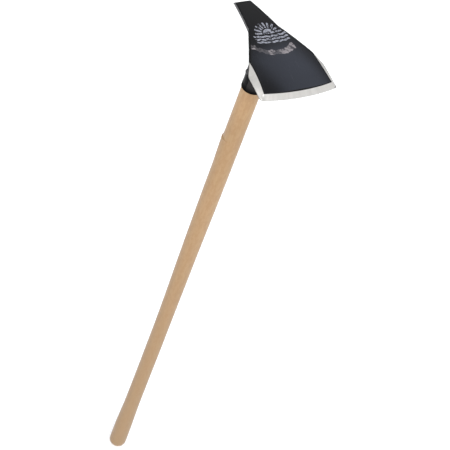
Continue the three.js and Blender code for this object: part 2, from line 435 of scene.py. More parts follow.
def emblem_mask(shader):
    """A made-up print: a half sun over furrows, patchily worn."""
    x, y = plan_in_mm(shader)
    x = shader.minus(x, 4.0)  # it was printed a little off the centre line
    emblem = shader.math("MAXIMUM", sun_mask(shader, x, y), furrows_mask(shader, x, y))
    worn = shader.band(shader.noise(shader.place, 260.0, 4.0, 0.62), 0.4, 0.52)
    return shader.times(emblem, worn)


def scuffed_band_mask(shader):
    """A smeared, rubbed band that curves across the plate below the emblem."""
    centre_y, band_radius = 30.0, 66.0
    x, y = plan_in_mm(shader)
    off = shader.minus(plan_radius(shader, x, y, centre_y), band_radius)
    off = shader.math("ABSOLUTE", off)
    ragged = shader.times(shader.noise(shader.place, 110.0, 4.0), 12.0)
    broader = shader.times(x, 0.02)  # towards the right
    off = shader.minus(shader.plus(off, ragged), broader)
    body = shader.band(off, 12.6, 10.4)
    below = shader.band(y, 2.0, -4.0)
    ends = shader.band(shader.plus(x, ragged), 48.0, 45.0)
    ends = shader.times(ends, below)
    rubbing_and_painted_reflection = shader.band(shader.noise(shader.place, 240.0, 5.0, 0.7), 0.34, 0.56, 0.15, 1.0)
    gaps = shader.band(shader.noise(shader.place, 75.0, 2.0), 0.4, 0.5, 0.25, 1.0)
    rubbing_and_painted_reflection = shader.times(rubbing_and_painted_reflection, gaps)
    return shader.times(shader.times(body, ends), rubbing_and_painted_reflection)


def black_paint(name, printed=False, worn=False, gloss=0.25, painted_reflection_side=None):
    """Satin black enamel with a slight orange peel, scuffs, and chips where it is worn.

    The direction argument gives a side over the plan: the half of the piece on that side is painted
    lighter grey, a painted reflection of the bright floor.
    """
    shader = Shader(name)
    clouds = shader.noise(shader.place, 16.0, 4.0, 0.6)
    colour = shader.mix(shader.band(clouds, 0.3, 0.7), PAINT, shaded(PAINT, 1.35))
    rough = shader.band(clouds, 0.3, 0.7, 0.16, 0.21)
    fine = shader.noise(shader.place, 1400.0, 2.0)
    peel = shader.noise(shader.place, 420.0, 2.0, 0.4)

    scratch = shader.noise(shader.stretch(shader.place, 900.0, 36.0, 36.0), 1.0, 2.0, 0.4)
    scratch = shader.band(scratch, 0.68, 0.74)
    colour = shader.mix(shader.times(scratch, 0.06), colour, SCRATCHED_PAINT)

    metallic = 0.0
    # One half of the piece is painted lighter grey, a painted reflection of the bright floor on that
    # side.
    if painted_reflection_side is not None:
        x, y, _ = shader.split(shader.place)
        across = shader.plus(shader.times(x, painted_reflection_side[0]), shader.times(y, painted_reflection_side[1]))
        colour = shader.mix(shader.band(across, -0.4 * MM, 0.8 * MM), colour, PAINTED_REFLECTION_GREY)
    if printed:
        mark = emblem_mask(shader)
        colour = shader.mix(shader.times(mark, 0.93), colour, PRINT)
        rubbing_and_painted_reflection = scuffed_band_mask(shader)
        colour = shader.mix(shader.times(rubbing_and_painted_reflection, 0.85), colour, WORN_PRINT)
        rough = shader.blend(shader.math("MAXIMUM", mark, rubbing_and_painted_reflection), rough, 0.5)
    if worn:
        edge = shader.node("ShaderNodeAttribute", attribute_name="wear").outputs["Fac"]
        scorched = shader.band(edge, 0.2, 0.55)
        colour = shader.mix(scorched, colour, shaded(PAINT, 0.6))
        rough = shader.blend(scorched, rough, 0.92)
        chip = shader.plus(shader.noise(shader.place, 620.0, 5.0, 0.65), shader.times(edge, 0.36))
        chip = shader.band(chip, 0.95, 1.0)
        colour = shader.mix(chip, colour, CHIPPED_STEEL)
        metallic = shader.times(chip, 0.9)
        rough = shader.blend(chip, rough, 0.42)
    relief = shader.plus(peel, shader.times(fine, 0.25))
    normal = shader.bump(relief, 0.05 * MM, 0.2)
    return shader.set(base_color=colour, roughness=rough, metallic=metallic, normal=normal,
                      specular_ior_level=gloss)


def cut_edge():
    """The plate's sawn edge, with lines across it: painted grey on the tail, a painted reflection of the
    bright floor; dark on the flare.
    """
    shader = Shader("cut_edge")
    uv = shader.node("ShaderNodeUVMap", uv_map="surface").outputs["UV"]
    lines = shader.noise(shader.stretch(uv, 1500.0, 60.0, 1.0), 1.0, 3.0, 0.55)
    mottle = shader.noise(shader.place, 60.0, 4.0, 0.6)
    tone = shader.plus(shader.times(lines, 0.45), shader.times(mottle, 0.55))
    # On the tail the edge is painted grey, a painted reflection of the bright floor in its black paint.
    rubbing_and_painted_reflection = shader.mix(shader.band(tone, 0.35, 0.65), *PAINTED_REFLECTION_EDGE_GREYS)
    _, y, _ = shader.split(shader.place)
    colour = shader.mix(shader.band(y, 24 * MM, 36 * MM), PAINT, rubbing_and_painted_reflection)
    chip = shader.band(shader.noise(shader.place, 480.0, 4.0, 0.6), 0.62, 0.66)
    colour = shader.mix(chip, colour, CHIPPED_EDGE)
    normal = shader.bump(lines, 0.04 * MM, 0.6)
    return shader.set(base_color=colour, roughness=0.75, normal=normal, specular_ior_level=0.1)


def ground_steel():
    """Bare steel with grinding lines across the edge, and painted shade darkening the left corner."""
    shader = Shader("ground_steel")
    uv = shader.node("ShaderNodeUVMap", uv_map="surface").outputs["UV"]
    lines = shader.noise(shader.stretch(uv, 2600.0, 120.0, 1.0), 1.0, 4.0, 0.6)
    broad = shader.noise(shader.stretch(uv, 90.0, 30.0, 1.0), 1.0, 3.0, 0.5)
    tone = shader.plus(shader.times(lines, 0.5), shader.times(broad, 0.5))
    bright = shaded(BARE_STEEL, 1.06)
    dull = shaded(BARE_STEEL, 0.93)
    colour = shader.mix(shader.band(tone, 0.32, 0.68), dull, bright)
    # The left corner's steel is painted darker: painted shade.
    x, y, _ = shader.split(shader.place)
    beside = shader.plus(x, float(FRONT_CORNER[0]))
    off = plan_radius(shader, beside, y, float(FRONT_CORNER[1]))
    painted_shade_corner = shader.band(off, 15 * MM, 5 * MM, 0.0, 0.5)
    colour = shader.mix(painted_shade_corner, colour, shaded(BARE_STEEL, 0.45))
    rough = shader.band(tone, 0.3, 0.7, 0.45, 0.38)
    normal = shader.bump(lines, 0.03 * MM, 0.25)
    return shader.set(base_color=colour, roughness=rough, metallic=1.0, normal=normal)


def ash_wood():
    """Pale ash: growth rings, long fibres, flecks and pores, browner towards the butt."""
    shader = Shader("ash_wood")
    x, y, z = shader.split(shader.place)
    sway = shader.noise(shader.stretch(shader.place, 1.0, 1.0, 0.35), 6.0, 2.0)
    drift = shader.noise(shader.stretch(shader.place, 1.0, 1.0, 0.12), 22.0, 3.0)
    pith_x, pith_y = 74 * MM, 46 * MM
    dx = shader.plus(shader.minus(x, pith_x), shader.times(sway, 14 * MM))
    dy = shader.plus(shader.minus(y, pith_y), shader.times(drift, 5 * MM))
    ring_radius = shader.math("SQRT", shader.plus(shader.times(dx, dx), shader.times(dy, dy)))
    ring_width = 2.9 * MM
    phase = shader.math("FRACT", shader.math("DIVIDE", ring_radius, ring_width))
    early = shader.times(shader.band(phase, 0.0, 0.12), shader.band(phase, 0.5, 0.14))

    fibres = shader.noise(shader.stretch(shader.place, 900.0, 900.0, 14.0), 1.0, 3.0, 0.55)
    streaks = shader.noise(shader.stretch(shader.place, 120.0, 120.0, 3.0), 1.0, 3.0, 0.5)
    patches = shader.noise(shader.stretch(shader.place, 1.0, 1.0, 0.3), 24.0, 2.0)
    flecks = shader.noise(shader.stretch(shader.place, 1.0, 1.0, 0.4), 190.0, 3.0, 0.6)
    pores = shader.noise(shader.stretch(shader.place, 1900.0, 1900.0, 110.0), 1.0, 1.0)
    pores = shader.times(shader.band(pores, 0.62, 0.7), shader.plus(early, 0.12))

    colour = shader.mix(shader.band(streaks, 0.3, 0.7), ASH_PALE, ASH_TAN)
    colour = shader.mix(shader.times(early, 0.1), colour, ASH_BROWN)
    colour = shader.mix(shader.band(patches, 0.35, 0.75, 0.0, 0.2), colour, ASH_ROSY)
    colour = shader.mix(shader.band(fibres, 0.35, 0.75, 0.0, 0.12), colour, ASH_BROWN)
    colour = shader.mix(shader.band(flecks, 0.42, 0.6, 0.0, 0.6), colour, ASH_FLECK)
    colour = shader.mix(shader.times(pores, 0.4), colour, ASH_PORE)
    # The ash is darker towards the butt, and least so by the head.
    darker_low = shader.band(z, 0.0, 0.78, 0.85, 0.0, smooth=False)
    colour = shader.mix(darker_low, colour, ASH_DARKER_LOW)
    # Up by the head the ash is painted lighter, a painted highlight that makes up for the blade's shadow
    # there.
    painted_highlight_by_head = shader.band(z, 1.0, 1.09)
    colour = shader.mix(painted_highlight_by_head, colour, shader.lighten(colour, 1.2))

    rough = shader.band(fibres, 0.3, 0.7, 0.36, 0.48)
    relief = shader.minus(shader.times(fibres, 0.5), pores)
    normal = shader.bump(relief, 0.06 * MM, 0.6)
    return shader.set(base_color=colour, roughness=rough, normal=normal, specular_ior_level=0.6)


def oxide_steel():
    """Black oxide on a fastener, rubbed a little in patches."""
    shader = Shader("oxide_steel")
    mottle = shader.noise(shader.place, 700.0, 4.0, 0.6)
    colour = shader.mix(shader.band(mottle, 0.4, 0.7), *OXIDE)
    rough = shader.band(mottle, 0.3, 0.7, 0.3, 0.46)
    normal = shader.bump(mottle, 0.02 * MM, 0.5)
    return shader.set(base_color=colour, roughness=rough, metallic=0.85, normal=normal)


def nylon():
    """The nut's insert: off-white nylon."""
    shader = Shader("nylon")
    mottle = shader.noise(shader.place, 500.0, 3.0)
    colour = shader.mix(shader.band(mottle, 0.3, 0.7), *NYLON)
    return shader.set(base_color=colour, roughness=0.42)


# ---- Blade ----

def dish(x, y):
    """How far pressing lifts a point of the plate, zero on the handle's axis."""
    return np.sqrt(DISH_RADIUS**2 - x**2 - (y - DISH_CENTRE_Y) ** 2) - DISH_ON_AXIS


def back_face(x, y):
    return CROWN_Z - PLATE + dish(x, y)


def side_place(x, y):
    """How far a plan point is up its side from the corner, and how far inside the side's line."""
    up = unit(SHOULDER_CORNER - FRONT_CORNER)
    off_x, off_y = np.abs(x) - FRONT_CORNER[0], y - FRONT_CORNER[1]
    return off_x * up[0] + off_y * up[1], off_y * up[0] - off_x * up[1]


def side_width(up, bow):
    """Width of a side's bevel at a distance up the side, with its line bowed inwards."""
    low_up, low_width = side_place(*SIDE_BEVEL_LOW)
    high_up, high_width = side_place(*SIDE_BEVEL_HIGH)
    share = np.clip((up - low_up) / (high_up - low_up), 0, 1)
    return low_width + (high_width - low_width) * share + bow * 4 * share * (1 - share)


def front_share(x, y):
    """0 on the digging edge, 1 where its bevel ends on the top face, and on past that."""
    return (EDGE_RADIUS - np.hypot(x, y - EDGE_CENTRE_Y)) / FRONT_BEVEL


def side_share(x, y):
    up, inside = side_place(x, y)
    return inside / side_width(up, np.where(x < 0, LEFT_BOW, RIGHT_BOW))


def tail_share(x, y):
    return (OUTLINE[0][1] - y + 0 * x) / TAIL_BEVEL


def side_land(x, y):
    """Thickness left under a side's bevel: more half way up the left side."""
    up, _ = side_place(x, y)
    share = np.clip(up / np.linalg.norm(SHOULDER_CORNER - FRONT_CORNER), 0, 1)
    return EDGE_LAND + np.where(x < 0, LEFT_LAND, 0) * 4 * share * (1 - share)


def ground_height(x, y):
    """Height of the top face over the back face, before dishing, arrises softened."""
    height = np.full(np.shape(x), PLATE, float)
    softness = 0.15 * MM
    lands = (side_land(x, y), EDGE_LAND, EDGE_LAND)
    for share, land in zip((side_share(x, y), tail_share(x, y), front_share(x, y)), lands):
        bevel = land + (PLATE - land) * share
        closeness = np.clip(softness - np.abs(height - bevel), 0, None) / softness
        height = np.minimum(height, bevel) - closeness**2 * softness / 4
    # The digging edge has been ground twice: a low ridge runs along its bevel, and
    # dies away where the side's bevel comes in.
    ridge, lift, fading = 0.72, 0.1 * MM, 4
    front = front_share(x, y)
    tent = np.clip(1 - np.abs(front - ridge) / (1 - ridge), 0, 1)
    clear = np.clip((side_share(x, y) - front) * fading, 0, 1)
    thinnest = 0.6 * EDGE_LAND
    return np.clip(height + lift * tent * clear, thinnest, PLATE)


def half_outline(corner_cut, tail_trim):
    """Dense plan points from the tail's centre to the digging edge's centre, taken to x >= 0."""
    steps = np.linspace(CORNER_ANGLE, 0, ARC_STEPS)
    arc = EDGE_RADIUS * np.stack([np.sin(steps), -np.cos(steps)], axis=1)
    arc[:, 1] += EDGE_CENTRE_Y
    # The arc's first points lie within the corner's rounding, so they are dropped.
    arc = [point for point in arc if np.linalg.norm(point - FRONT_CORNER) > 1.5 * corner_cut]
    tail = [np.array([x - tail_trim, y]) for x, y, _ in OUTLINE[:-2]]
    middle = np.array([0.0, OUTLINE[0][1]])
    corners = [middle, *tail, SHOULDER_CORNER, FRONT_CORNER, *arc]
    reach = [0.0] + [cut_back for _, _, cut_back in OUTLINE] + [0.0] * len(arc)
    reach[len(OUTLINE)] = corner_cut

    path = [corners[0]]
    for k in range(1, len(corners)):
        point = corners[k]
        if reach[k] == 0:
            path.append(point)
            continue
        enter = point + unit(corners[k - 1] - point) * reach[k]
        leave = point + unit(corners[k + 1] - point) * reach[k]
        for t in np.linspace(0, 1, ROUNDING_STEPS):
            path.append((1 - t) ** 2 * enter + 2 * t * (1 - t) * point + t**2 * leave)
    return respaced(np.array(path), OUTLINE_STEP)


def respaced(path, step):
    """Adds points along a path's straight stretches, and keeps those it has."""
    made = [path[0]]
    for near, far in zip(path[:-1], path[1:]):
        pieces = max(1, int(np.linalg.norm(far - near) / step))
        for k in range(1, pieces + 1):
            made.append(near + (far - near) * k / pieces)
    return np.array(made)


def follow(line, outer):
    """Points on line at the fractions of length where outer's points lie."""
    def fractions(points):
        steps = np.linalg.norm(np.diff(points, axis=0), axis=1)
        total = running(steps)
        return total / total[-1]

    at, have = fractions(outer), fractions(line)
    return np.stack([np.interp(at, have, line[:, 0]), np.interp(at, have, line[:, 1])], axis=1)


def inner_lines(outline, bow):
    """For each outline point, where the flat top face begins, and which points are ground."""
    x, y = outline[:, 0], outline[:, 1]
    up, inside = side_place(x, y)
    inner = outline.copy()
    tail_end = int(np.argmax(tail_share(x, y) > 1))
    side_start = int(np.argmax(inside < side_width(up, bow)))
    mitre = int(np.argmax(front_share(x, y) < inside / side_width(up, bow)))

    tail = np.array([[0.0, y[tail_end]], outline[tail_end]])
    inner[: tail_end + 1] = follow(tail, outline[: tail_end + 1])

    radius = EDGE_RADIUS - FRONT_BEVEL
    meet_angle = math.atan2(SIDE_BEVEL_LOW[0], EDGE_CENTRE_Y - SIDE_BEVEL_LOW[1])
    angle = np.linspace(meet_angle, 0, ARC_STEPS)
    front = np.stack([radius * np.sin(angle), EDGE_CENTRE_Y - radius * np.cos(angle)], axis=1)
    inner[mitre:] = follow(front, outline[mitre:])

    along = unit(SHOULDER_CORNER - FRONT_CORNER)
    inwards = np.array([-along[1], along[0]])
    ups = np.linspace(up[side_start], side_place(*front[0])[0], SIDE_STEPS)
    line = FRONT_CORNER + along * ups[:, None] + inwards * side_width(ups, bow)[:, None]
    line[0], line[-1] = outline[side_start], front[0]
    inner[side_start : mitre + 1] = follow(line, outline[side_start : mitre + 1])
    index = np.arange(len(outline))
    return inner, (index < tail_end) | (index >= side_start)


def joined(right, left):
    """A whole loop from two halves at x >= 0, whose first and last points lie on x = 0."""
    return np.concatenate([right, left[-2:0:-1] * np.array([-1.0, 1.0])])


def face_plans(edge):
    """Plans of a face's rings, from its edge in to the blade's middle line, closest by the edge."""
    middle = np.stack([0 * edge[:, 0], np.clip(edge[:, 1], *SPINE_Y)], axis=1)
    shares = np.concatenate([[0.0, 0.007, 0.02, 0.045], np.linspace(0.08, 1, 20)])
    return [edge + (middle - edge) * share for share in shares]


def wear_near(edge, plan):
    """Wear at each point of a plan: 1 on the edge, dying away from it."""
    return np.exp(-np.linalg.norm(plan - edge, axis=1) / WEAR_FADE)


def inward_of(loop):
    """The way into a closed loop, at each of its points."""
    tangent = np.roll(loop, -1, axis=0) - np.roll(loop, 1, axis=0)
    inward = np.stack([tangent[:, 1], -tangent[:, 0]], axis=1)
    return inward / np.linalg.norm(inward, axis=1)[:, None]


def blade_mesh():
    """The ground plate: back face, rounded edge, ground bevels and flat top, then dished."""
    right = half_outline(OUTLINE[-1][2], -RIGHT_TAIL_SPARE)
    left = half_outline(LEFT_CORNER_CUT, LEFT_TAIL_TRIM)
    right_inner, right_ground = inner_lines(right, RIGHT_BOW)
    left_inner, left_ground = inner_lines(left, LEFT_BOW)
    loop = joined(right, left)
    top_loop = joined(right_inner, left_inner)
    ground = np.concatenate([right_ground, left_ground[-2:0:-1]])
    x, y = loop[:, 0], loop[:, 1]
    height = ground_height(x, y)
    round_off = np.clip(ARRIS_SHARE * height, ARRIS_LEAST, ARRIS_MOST)
    inward = inward_of(loop)
    bare = np.where(ground, STEEL, TOP)
    # Painted shade: along the outer edge of the right side's bevel, the edge's dark wall material is
    # laid on the bevel.
    painted_shade_slots = np.where((x > 0) & (side_share(x, y) < 0.5), WALL, bare)
    rings, slots, wear = [], [], []

    def inset(share):
        return loop + inward * (round_off * share)[:, None]

    def add(plan, z, slot, worn):
        rings.append(np.stack([plan[:, 0], plan[:, 1], z], axis=1))
        slots.append(slot)
        wear.append(np.zeros(len(plan)) + worn)

    # Back face, out from the middle line to its edge.
    bottom = inset(1.0)
    for plan in face_plans(bottom)[::-1]:
        add(plan, np.zeros(len(loop)), BACK, wear_near(bottom, plan))
    # Its rounded arris, the edge's wall, and the rounded arris above.
    for angle in ARRIS_ANGLES:
        add(inset(1 - math.sin(angle)), round_off * (1 - math.cos(angle)), WALL, 1.0)
    add(loop, round_off, WALL, 1.0)
    add(loop, height - round_off, bare, 1.0)
    for angle in ARRIS_ANGLES:
        add(inset(1 - math.cos(angle)), height - round_off * (1 - math.sin(angle)), bare, 1.0)
    # The ground bevel, from the edge to the line where the flat top begins.
    upper = inset(1.0)
    start = np.where(ground[:, None], top_loop, upper)
    for share in (0.0, 0.12, 0.25, 0.4, 0.55, 0.68, 0.8, 0.9, 0.95, 0.98):
        plan = upper + (start - upper) * share
        add(plan, ground_height(plan[:, 0], plan[:, 1]), bare if share > 0 else painted_shade_slots, 1.0)
    # The flat top face, in to the middle line.
    for plan in face_plans(start):
        add(plan, ground_height(plan[:, 0], plan[:, 1]), TOP, wear_near(start, plan))

    rings = np.array(rings)
    rings[..., 2] += back_face(rings[..., 0], rings[..., 1])
    return loft("blade_body", rings, ring_slots=slots, values=wear)


# ---- Socket and weld ----

SOCKET_SIDES = 144
SOCKET_LIP = 0.9 * MM  # radius of the rounding at the mouth
DRILL_SIDES = 48


def drill_mesh():
    """The bolt's hole through the socket and the tenon."""
    radius = BOLT_RADIUS + GAP
    reach = 2 * SOCKET_RADIUS
    ends = [circle(0.0, -reach, DRILL_SIDES), circle(radius, -reach, DRILL_SIDES)]
    ends += [circle(radius, reach, DRILL_SIDES), circle(0.0, reach, DRILL_SIDES)]
    return loft("drill", along_x(ends))


def lip_ring(wall_radius, side, turn):
    """A ring of the mouth's rounding; side is 1 at the bore and -1 at the outer wall."""
    radius = wall_radius + side * SOCKET_LIP * (1 - math.sin(turn))
    return circle(radius, MOUTH_Z + SOCKET_LIP * (1 - math.cos(turn)), SOCKET_SIDES)


def tube_ring(radius, share):
    """A ring of the tube's wall, at a share of the way from the lip to the blade's back face."""
    foot = circle(radius, 0, SOCKET_SIDES)
    top = back_face(foot[:, 0], foot[:, 1]) - GAP
    low = MOUTH_Z + SOCKET_LIP
    return circle(radius, low + (top - low) * share, SOCKET_SIDES)


def socket_mesh():
    """A tube with a rounded lip at its mouth; its top follows the blade's back face."""
    turns = np.linspace(0, math.pi / 2, 6)
    rings = [lip_ring(SOCKET_BORE, 1, turn) for turn in turns[::-1]]
    rings += [lip_ring(SOCKET_RADIUS, -1, turn) for turn in turns]
    rings += [tube_ring(SOCKET_RADIUS, share) for share in (0.25, 0.5, 0.75, 0.93, 1.0)]
    rings += [tube_ring(SOCKET_BORE, share) for share in (1.0, 0.5)]
    fade = 1.5 * MM  # the lip's wear dies away this far up
    wear = [np.exp(-(ring[:, 2] - MOUTH_Z) / fade) for ring in rings]
    return loft("socket_tube", rings, closed=True, values=wear)


def bead_mesh():
    """A fillet weld laid in overlapping ripples round the tube."""
    sides = 480
    angle = np.arange(sides) * 2 * math.pi / sides
    ripples = 44
    inner = SOCKET_RADIUS + GAP
    leg = BEAD_HIGH.x - inner
    phase = angle * ripples / (2 * math.pi)
    wobble = 0.04 * np.sin(3 * angle + 1.1) + 0.03 * np.sin(7 * angle + 0.4)
    rings = []
    for t in np.linspace(0, 1, 13):
        crest = np.mod(phase + 0.35 * math.sin(math.pi * t), 1.0)
        swell = 0.93 + wobble + 0.06 * np.sqrt(np.clip(1 - (2 * crest - 1) ** 2, 0, 1))
        belly = leg * (1 - 0.36 * math.sin(math.pi * t)) * np.minimum(swell, 1.0)
        out = belly * math.sin(math.pi / 2 * t)
        down = belly * math.cos(math.pi / 2 * t)
        radius = inner + out
        x, y = radius * np.cos(angle), radius * np.sin(angle)
        rings.append(np.stack([x, y, back_face(x, y) - GAP - down], axis=1))
    x, y = inner * np.cos(angle), inner * np.sin(angle)
    rings.append(np.stack([x, y, back_face(x, y) - GAP], axis=1))
    return loft("weld_run", rings, closed=True)


# ---- Handle ----

BUTT_ROUND = 15 * MM
BUTT_FLAT_RADIUS = 10 * MM
BUTT_STEPS = 22
SHOULDER_Z = 976 * MM  # one side is left proud up to here
SHOULDER_PROUD = 2.0 * MM
SHOULDER_LENGTH = 76 * MM
SHOULDER_TURN = 2.6  # the side it faces, in radians round from +X
GIRTH = [
    # height, and the turned handle's radius there, in millimetres
    (15, 19.15),
    (42, 19.15),
    (72, 18.85),
    (101, 18.1),
    (130, 17.45),
    (145, 17.15),
    (216, 16.95),
    (420, 17.05),
    (525, 17.65),
    (626, 18.55),
    (723, 19.35),
    (817, 20.2),
    (920, 20.5),
    (1008, 20.55),
    (1111, 20.7),
]
CROOK_TURN = -0.543  # the way the ash bends, in radians round from +X
CROOK = [
    # height, and how far the middle of the handle strays there, in millimetres
    (0, -0.45),
    (86, -0.3),
    (116, 0.0),
    (244, 0.65),
    (388, 1.1),
    (513, 0.8),
    (628, 0.0),
    (728, -0.2),
    (976, -0.15),
    (1080, 0.0),
]


def smooth_through(points, z):
    """A smooth curve through (height, value) points in millimetres, never past them."""
    at, value = np.array(points).T * MM
    width = np.diff(at)
    slope = np.diff(value) / width
    both = slope[:-1] * slope[1:]
    tangent = np.zeros(len(at))
    level = np.where(both > 0, slope[:-1] + slope[1:], 1.0)
    tangent[1:-1] = np.where(both > 0, 2 * both / level, 0.0)
    z = min(max(z, at[0]), at[-1])
    k = min(int(np.searchsorted(at, z, side="right")) - 1, len(at) - 2)
    t = (z - at[k]) / width[k]
    return (
        (2 * t**3 - 3 * t**2 + 1) * value[k]
        + (t**3 - 2 * t**2 + t) * width[k] * tangent[k]
        + (3 * t**2 - 2 * t**3) * value[k + 1]
        + (t**3 - t**2) * width[k] * tangent[k + 1]
    )


def proud_side(z, angle):
    """How far the side left untrimmed stands out, at a height, round the handle."""
    rise = min(max((z - SHOULDER_Z) / SHOULDER_LENGTH + 1, 0.0), 1.0)
    facing = np.clip(np.cos(angle - SHOULDER_TURN), 0, None)
    return SHOULDER_PROUD * rise * facing**2


def handle_ring(z, radius, sides):
    """One ring of the handle, about its slightly crooked middle line."""
    stray = smooth_through(CROOK, z)
    centre = (stray * math.cos(CROOK_TURN), stray * math.sin(CROOK_TURN))
    return circle(radius, z, sides, centre)


def handle_mesh():
    """Turned ash with a rounded butt, trimmed on one side below the socket, and its tenon."""
    sides = 128
    angle = np.arange(sides) * 2 * math.pi / sides
    rings = [handle_ring(0.0, radius, sides) for radius in (0.0, 0.6 * BUTT_FLAT_RADIUS)]
    widening = GIRTH[0][1] * MM - BUTT_FLAT_RADIUS
    for turn in np.linspace(0, math.pi / 2, BUTT_STEPS)[:-1]:
        radius = BUTT_FLAT_RADIUS + widening * math.sin(turn)
        rings.append(handle_ring(BUTT_ROUND * (1 - math.cos(turn)), radius, sides))

    shoulder_z = MOUTH_Z - GAP
    step = 5 * MM
    trim = 0.8 * MM  # height of the step left by the trimming cut
    low = np.arange(BUTT_ROUND, SHOULDER_Z, step)
    high = np.arange(SHOULDER_Z + step, shoulder_z - 2 * MM, step)
    for z in [*low, SHOULDER_Z, SHOULDER_Z + trim, *high]:
        # Hand sanding left it out of round by a hair, in slow waves.
        hand_cut = 0.05 * MM * np.sin(2 * angle + 9 * z) * math.sin(41 * z)
        proud = proud_side(z, angle) if z <= SHOULDER_Z else 0.0
        rings.append(handle_ring(z, smooth_through(GIRTH, z) + hand_cut + proud, sides))

    mouth = GIRTH[-1][1] * MM
    ease = 0.5 * MM
    tenon = SOCKET_BORE - GAP
    chamfer = 3 * MM
    rings.append(circle(mouth, shoulder_z - ease, sides))
    rings.append(circle(mouth - ease, shoulder_z, sides))
    rings.append(circle(tenon, shoulder_z, sides))
    for z in np.linspace(shoulder_z + 2 * MM, TOP_Z - chamfer, 12):
        rings.append(circle(tenon, z, sides))
    rings.append(circle(tenon - chamfer, TOP_Z, sides))
    rings.append(circle(0.0, TOP_Z, sides))
    return loft("handle_ash", rings)


# ---- Fasteners ----

HEX_SIDES = 72
FLAT = (NUT_HIGH.y - NUT_LOW.y) / 2  # half of the width across the flats
CHAMFER_FROM = 0.94 * FLAT  # a face's corners are cut away from this radius outwards
CHAMFER_SLOPE = math.tan(math.radians(30))
CORNER_EASE = 0.97  # a hexagon's bearing face is this share of its full size
PITCH = 1 * MM
THREAD_LENGTH = 18 * MM
HEAD_HEIGHT = 4 * MM
HEAD_SEAT = WASHER_HIGH.x + GAP  # where the head and the nut bear, from the axis
NUT_HEX_HEIGHT = 5 * MM


def hexagon():
    """Distance from a hexagon's middle to its rim in each direction; a corner lies along X."""
    angle = np.arange(HEX_SIDES) * 2 * math.pi / HEX_SIDES
    off = np.mod(angle, math.pi / 3) - math.pi / 6
    return FLAT / np.cos(off)


def chamfered_face(height, out, shares):
    """Rings of a hexagon's face with its corners cut away, from its rim inwards."""
    rings = []
    for share in shares:
        radius = hexagon() * share
        drop = np.clip(radius - CHAMFER_FROM, 0, None) * CHAMFER_SLOPE
        rings.append(circle(radius, height - out * drop, HEX_SIDES))
    return rings


def thread_rings(start, end):
    """A V thread that runs in over its first turn, and narrows at the bolt's point."""
    angle = np.arange(HEX_SIDES) * 2 * math.pi / HEX_SIDES
    depth = 0.55 * MM
    point_length, point_depth = 0.8 * MM, 0.5 * MM
    rings = []
    for z in np.arange(start, end, PITCH / 8):
        groove = np.abs(np.mod(z / PITCH - angle / (2 * math.pi), 1.0) - 0.5) * 2
        run_in = min(1.0, (z - start) / PITCH)
        point = max(0.0, (z - (end - point_length)) / point_length) * point_depth
        rings.append(circle(BOLT_RADIUS - depth * groove * run_in - point, z, HEX_SIDES))
    return rings


def bolt_mesh():
    """Hexagon bolt: chamfered head at -X, plain shank, and a thread at the nut's end."""
    head_out = -(HEAD_SEAT + HEAD_HEIGHT)
    face = chamfered_face(head_out, -1, (1.0, 0.98, 0.94, 0.9, 0.8))
    middle, rim = 0.4 * FLAT, 0.8 * FLAT
    face += [circle(middle + (rim - middle) * share, head_out, HEX_SIDES) for share in (0.66, 0.33, 0.0)]
    rings = [circle(0.0, head_out, HEX_SIDES), *face[::-1]]
    rings.append(circle(hexagon(), -HEAD_SEAT - 0.2 * MM, HEX_SIDES))
    rings.append(circle(hexagon() * CORNER_EASE, -HEAD_SEAT, HEX_SIDES))
    rings.append(circle(BOLT_RADIUS, -HEAD_SEAT, HEX_SIDES))
    end = BOLT_HIGH.x
    thread_from = end - THREAD_LENGTH
    rings.append(circle(BOLT_RADIUS, thread_from - PITCH, HEX_SIDES))
    rings += thread_rings(thread_from, end)
    rings.append(circle(BOLT_RADIUS - 1.0 * MM, end, HEX_SIDES))
    rings.append(circle(0.0, end, HEX_SIDES))
    return loft("bolt_m6", along_x(rings))


def nut_mesh():
    """Lock nut: chamfered hexagon, crimped collar, and the nylon ring inside it."""
    bore = BOLT_RADIUS + 0.1 * MM
    low, high = HEAD_SEAT, NUT_HIGH.x
    top = low + NUT_HEX_HEIGHT
    collar, crimp, rim = 4.3 * MM, 0.5 * MM, 3.7 * MM
    rings = [circle(bore + 0.4 * MM, low, HEX_SIDES)]
    rings.append(circle(hexagon() * CORNER_EASE, low, HEX_SIDES))
    rings.append(circle(hexagon(), low + 0.2 * MM, HEX_SIDES))
    rings += chamfered_face(top, 1, (1.0, 0.97, 0.93, 0.88))
    rings.append(circle(collar, top, HEX_SIDES))
    for turn in np.linspace(0, math.pi / 2, 6):
        radius = collar - crimp * (1 - math.cos(turn))
        rings.append(circle(radius, high - crimp * (1 - math.sin(turn)), HEX_SIDES))
    rings.append(circle(rim, high, HEX_SIDES))
    nylon_from = len(rings)
    rings.append(circle(rim - 0.05 * MM, high - 0.25 * MM, HEX_SIDES))
    rings.append(circle(bore, high - 0.3 * MM, HEX_SIDES))
    rings.append(circle(bore, high - 1.6 * MM, HEX_SIDES))
    nylon_to = len(rings)
    rings.append(circle(bore + 0.1 * MM, low + 0.4 * MM, HEX_SIDES))
    slots = [1 if nylon_from - 1 <= k < nylon_to - 1 else 0 for k in range(len(rings))]
    return loft("nut_m6", along_x(rings), closed=True, ring_slots=slots)


def washer_mesh(name, side):
    """A stamped plain washer: rolled on one edge, sharp on the other."""
    inner = BOLT_RADIUS + 0.25 * MM
    outer = (WASHER_HIGH.y - WASHER_LOW.y) / 2
    low, high = WASHER_LOW.x, WASHER_HIGH.x
    roll = 0.35 * MM
    profile = [(inner, low), (outer - 0.1 * MM, low), (outer, low + 0.1 * MM)]
    for turn in np.linspace(0, math.pi / 2, 5):
        profile.append((outer - roll * (1 - math.cos(turn)), high - roll * (1 - math.sin(turn))))
    profile.append((inner + 0.15 * MM, high))
    profile.append((inner, high - 0.15 * MM))
    rings = along_x([circle(radius, z, HEX_SIDES) for radius, z in profile])
    rings[..., 0] *= side
    return loft(name, rings, closed=True)


# ---- Build ----

